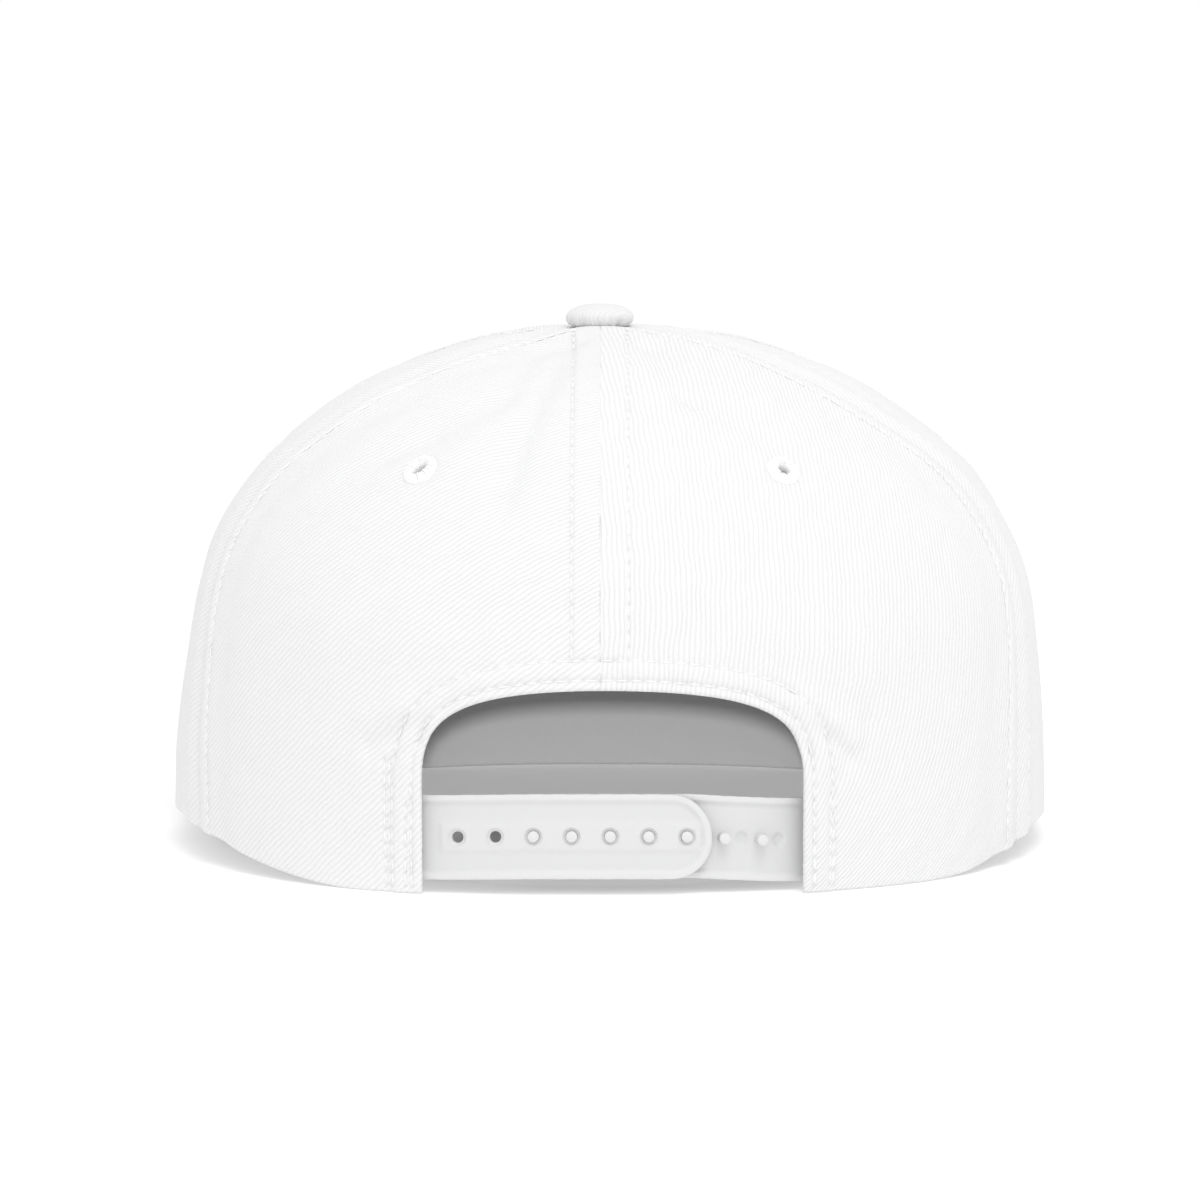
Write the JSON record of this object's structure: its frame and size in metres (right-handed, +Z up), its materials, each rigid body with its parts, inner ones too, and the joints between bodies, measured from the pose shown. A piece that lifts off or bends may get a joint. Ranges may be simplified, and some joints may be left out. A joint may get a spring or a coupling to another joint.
{
  "type": "snapback cap",
  "caption": "Six-panel cap with a tall rounded crown, flat brim, covered top button, eyelets, sweatband and a plastic snap closure across the back opening.",
  "frame": {"origin": "under the middle of the whole cap, crown and brim, on the surface that it rests on", "axes": "+Z up, the brim points along -Y, the back opening and the snap closure face +Y, the wearer's left is +X"},
  "size_m": [0.1904, 0.253, 0.1152],
  "materials": {
    "crown_cloth": "white cotton twill, matt",
    "eyelet_thread": "white embroidery thread, slight sheen",
    "band_cloth": "plain woven cotton, matt",
    "strap_plastic": "moulded white plastic, satin"
  },
  "bodies": {
    "root": {"panel_back_left": "crown_cloth", "panel_back_right": "crown_cloth", "panel_side_left": "crown_cloth", "panel_side_right": "crown_cloth", "panel_front_left": "crown_cloth", "panel_front_right": "crown_cloth", "top_button": "crown_cloth", "eyelet_back_left": "eyelet_thread", "eyelet_back_right": "eyelet_thread", "eyelet_side_left": "eyelet_thread", "eyelet_side_right": "eyelet_thread", "eyelet_front_left": "eyelet_thread", "eyelet_front_right": "eyelet_thread", "visor_upper": "crown_cloth", "visor_under": "crown_cloth", "sweatband": "band_cloth", "strap_holes": "strap_plastic", "strap_pegs": "strap_plastic"}
  },
  "joints": []
}
